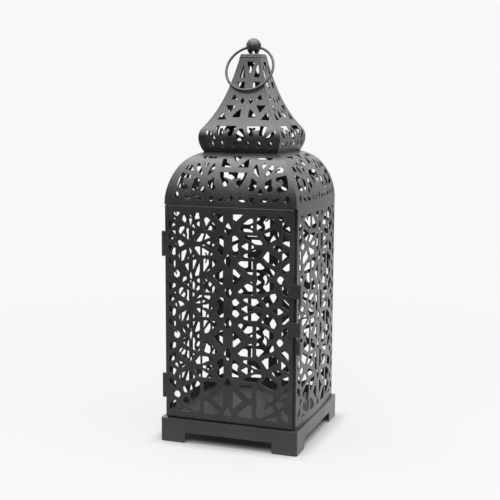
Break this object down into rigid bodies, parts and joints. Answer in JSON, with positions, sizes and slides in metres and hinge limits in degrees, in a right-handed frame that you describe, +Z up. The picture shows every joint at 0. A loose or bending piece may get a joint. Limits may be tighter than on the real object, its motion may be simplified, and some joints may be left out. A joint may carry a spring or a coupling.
{
  "type": "moroccan metal lantern",
  "caption": "Square pierced sheet-metal candle lantern with a footed tray, hinged latching door, domed roof, onion cap, ball finial and swinging carry ring.",
  "frame": {"origin": "centre of the square base, on the surface that the feet stand on", "axes": "+Z up; the door faces -Y, its hinges are on the -X side and its latch on the +X side"},
  "size_m": [0.1586, 0.15, 0.4204],
  "materials": {
    "coated_steel_sheet": "satin charcoal-black powder coat on thin pierced steel sheet",
    "coated_steel_fittings": "the same satin powder coat on rolled strap and wire, slightly rubbed on edges",
    "coated_steel_finial": "smoother satin powder coat, slightly glossier than the sheet"
  },
  "bodies": {
    "lantern": {"base_tray": "coated_steel_sheet", "wall_right": "coated_steel_sheet", "wall_left": "coated_steel_sheet", "wall_rear": "coated_steel_sheet", "door_frame": "coated_steel_sheet", "dome_front": "coated_steel_sheet", "dome_right": "coated_steel_sheet", "dome_rear": "coated_steel_sheet", "dome_left": "coated_steel_sheet", "cap_front": "coated_steel_sheet", "cap_right": "coated_steel_sheet", "cap_rear": "coated_steel_sheet", "cap_left": "coated_steel_sheet", "top_plate": "coated_steel_finial", "finial_yoke": "coated_steel_finial", "finial_ball": "coated_steel_finial", "hinge_lower_frame_leaf": "coated_steel_fittings", "hinge_upper_frame_leaf": "coated_steel_fittings", "hinge_lower_pin": "coated_steel_fittings", "hinge_upper_pin": "coated_steel_fittings", "latch_keeper": "coated_steel_fittings"},
    "door": {"door_panel": "coated_steel_sheet", "hinge_lower_door_leaf": "coated_steel_fittings", "hinge_upper_door_leaf": "coated_steel_fittings", "latch_guide_lower": "coated_steel_fittings", "latch_guide_upper": "coated_steel_fittings"},
    "latch": {"latch_bolt": "coated_steel_fittings"},
    "ring": {"carry_ring": "coated_steel_finial"}
  },
  "joints": [
    {"name": "door_hinge", "type": "hinge", "parent": "lantern", "child": "door", "pos_m": [-0.07315, -0.0695, 0.1345], "axis": [0, 0, -1], "range_deg": [0, 115]},
    {"name": "latch_slide", "type": "slide", "parent": "door", "child": "latch", "axis": [0, 0, 1], "range_m": [-0.0028, 0.01]},
    {"name": "ring_swing", "type": "hinge", "parent": "lantern", "child": "ring", "pos_m": [0, 0, 0.4109], "axis": [-1, 0, 0], "range_deg": [0, 303.4]}
  ]
}
